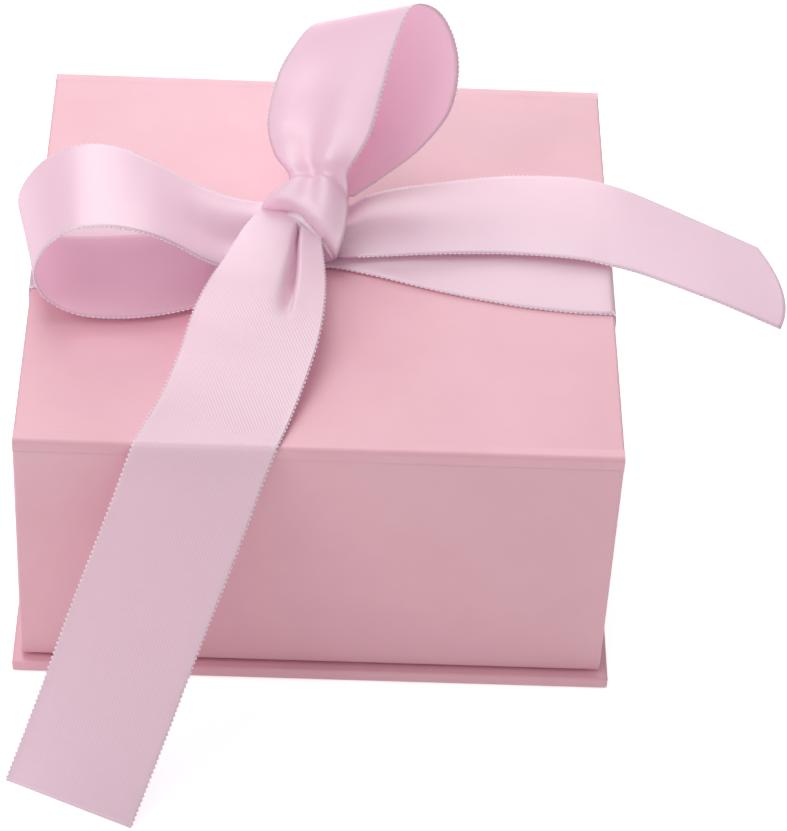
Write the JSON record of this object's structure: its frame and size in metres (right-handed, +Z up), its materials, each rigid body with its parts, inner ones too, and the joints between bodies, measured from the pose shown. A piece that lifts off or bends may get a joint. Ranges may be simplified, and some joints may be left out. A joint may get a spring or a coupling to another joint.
{
  "type": "gift box",
  "caption": "Square paper-covered rigid gift box with a hinged lid, magnetic front flap, inner tray and a tied satin ribbon bow.",
  "frame": {"origin": "on the table under the middle of the box: the underside of the ribbon strap that passes under the base", "axes": "+Z up, -Y out of the front flap, +X to the right of someone facing the flap"},
  "size_m": [0.1341, 0.1366, 0.0925],
  "materials": {
    "wrap_paper": "matte uncoated",
    "lining_paper": "matte uncoated",
    "greyboard": "matte",
    "tape": "matte",
    "magnet": "plated",
    "satin_ribbon": "double-faced satin"
  },
  "bodies": {
    "base": {"base_board": "greyboard", "base_cover_paper": "wrap_paper", "base_fold_paper": "wrap_paper", "spine_board": "greyboard", "spine_cover_paper": "wrap_paper", "tray_floor_board": "greyboard", "tray_front_wall": "greyboard", "tray_back_wall": "greyboard", "tray_left_wall": "greyboard", "tray_right_wall": "greyboard", "tray_corner_stays": "tape", "tray_wrap_paper": "wrap_paper", "tray_liner_paper": "lining_paper", "tray_magnets": "magnet", "ribbon_under_strap": "satin_ribbon", "ribbon_left_strap": "satin_ribbon", "ribbon_right_strap": "satin_ribbon"},
    "lid": {"lid_board": "greyboard", "lid_cover_paper": "wrap_paper", "lid_liner_paper": "lining_paper", "lid_hinge_paper": "wrap_paper", "ribbon_band": "satin_ribbon", "ribbon_knot": "satin_ribbon", "ribbon_left_loop": "satin_ribbon", "ribbon_upper_loop": "satin_ribbon", "ribbon_right_tail": "satin_ribbon", "ribbon_front_tail_top": "satin_ribbon"},
    "flap": {"flap_board": "greyboard", "flap_cover_paper": "wrap_paper", "flap_liner_paper": "lining_paper", "flap_magnets": "magnet", "flap_hinge_paper": "wrap_paper"},
    "front_tail": {"ribbon_front_tail": "satin_ribbon"}
  },
  "joints": [
    {"name": "lid_hinge", "type": "hinge", "parent": "base", "child": "lid", "pos_m": [0, 0.0496, 0.05295], "axis": [-1, 0, 0], "range_deg": [0, 180], "deforming": ["lid_hinge_paper"]},
    {"name": "flap_hinge", "type": "hinge", "parent": "lid", "child": "flap", "pos_m": [0, -0.0496, 0.05295], "axis": [-1, 0, 0], "range_deg": [0, 90], "deforming": ["flap_hinge_paper"]},
    {"name": "tail_swing", "type": "hinge", "parent": "lid", "child": "front_tail", "pos_m": [0, -0.0496, 0.05295], "axis": [-1, 0, 0], "range_deg": [0, 60]}
  ],
  "couplings": [
    {"joint": "tail_swing", "follows": "flap_hinge", "ratio": 0.65}
  ]
}
